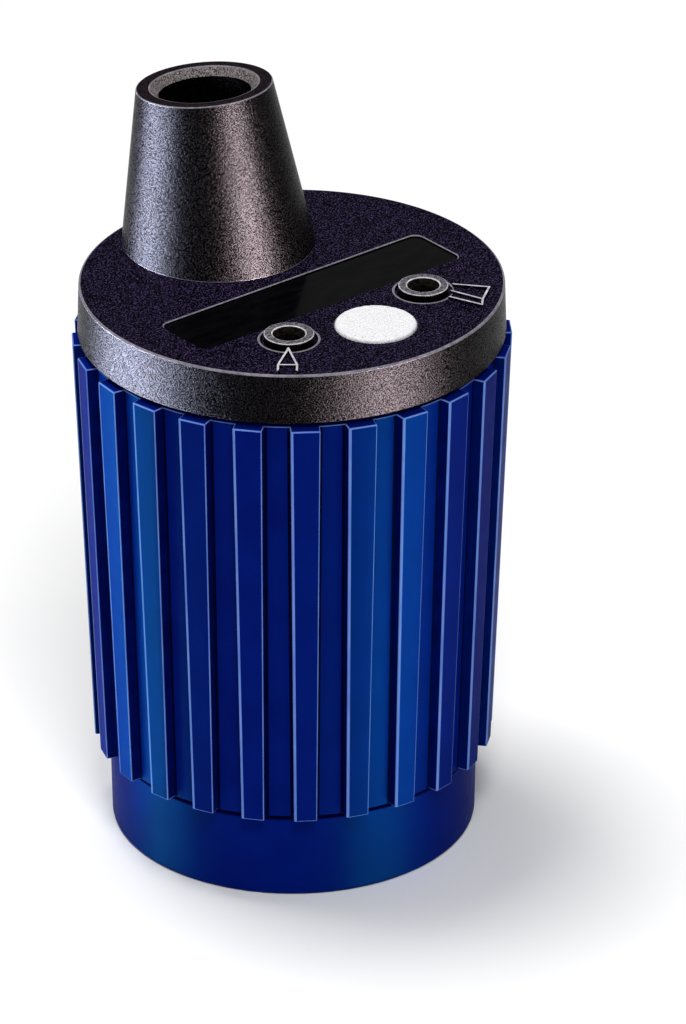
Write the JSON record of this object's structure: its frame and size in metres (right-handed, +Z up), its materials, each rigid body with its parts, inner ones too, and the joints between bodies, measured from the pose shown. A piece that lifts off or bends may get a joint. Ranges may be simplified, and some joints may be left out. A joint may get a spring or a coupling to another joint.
{
  "type": "rotary lead pointer",
  "caption": "Round tub lead pointer: a ribbed sleeve on a dust cup under a turning head with a leaning holder guide, point gauges, a felt pad and a geared cutter.",
  "frame": {"origin": "centre of the base on the surface that the tub stands on", "axes": "+Z up along the tub's axis; +Y from the axis towards the leaning holder guide; the felt pad lies towards -Y"},
  "size_m": [0.0428, 0.0428, 0.0753],
  "materials": {
    "blue_plastic": "satin moulded plastic",
    "black_plastic": "fine-grained matte moulding",
    "badge": "glossy",
    "gauge_plastic": "satin",
    "felt": "pressed felt",
    "acetal": "natural acetal",
    "frame_plastic": "moulded",
    "steel": "turned",
    "bronze": "sintered"
  },
  "bodies": {
    "cup": {"dust_cup": "blue_plastic"},
    "sleeve": {"ribbed_sleeve": "blue_plastic", "gear_ring": "acetal"},
    "head": {"head_cap": "black_plastic", "guide_cone": "black_plastic", "lead_guide": "steel", "badge_plate": "badge", "cleaning_pad": "felt", "sharp_gauge": "gauge_plastic", "blunt_gauge": "gauge_plastic", "gear_frame": "frame_plastic", "frame_screws": "steel", "lower_bridge": "frame_plastic", "bridge_screws": "steel", "upper_bush": "bronze", "lower_bush": "bronze", "idler_pin": "steel", "idler_clip": "steel"},
    "idler": {"idler_gear": "acetal", "idler_bush": "bronze"},
    "cutter": {"cutter": "steel", "cutter_axle": "steel", "axle_clip": "steel", "thrust_washer": "steel", "cutter_pinion": "acetal"}
  },
  "joints": [
    {"name": "sleeve_lift", "type": "slide", "parent": "cup", "child": "sleeve", "axis": [0, 0, 1], "range_m": [0, 0.03]},
    {"name": "head_turn", "type": "hinge", "parent": "sleeve", "child": "head", "pos_m": [0, 0, 0.0547], "axis": [0, 0, 1], "continuous": true},
    {"name": "idler_spin", "type": "hinge", "parent": "head", "child": "idler", "pos_m": [0, -0.0066, 0.0317], "axis": [0, 0, 1], "continuous": true},
    {"name": "cutter_spin", "type": "hinge", "parent": "head", "child": "cutter", "pos_m": [0, 0.0045, 0.0403], "axis": [0, 0, 1], "continuous": true}
  ],
  "couplings": [
    {"joint": "idler_spin", "follows": "head_turn", "ratio": -1.8462},
    {"joint": "cutter_spin", "follows": "head_turn", "ratio": 4.3636}
  ]
}
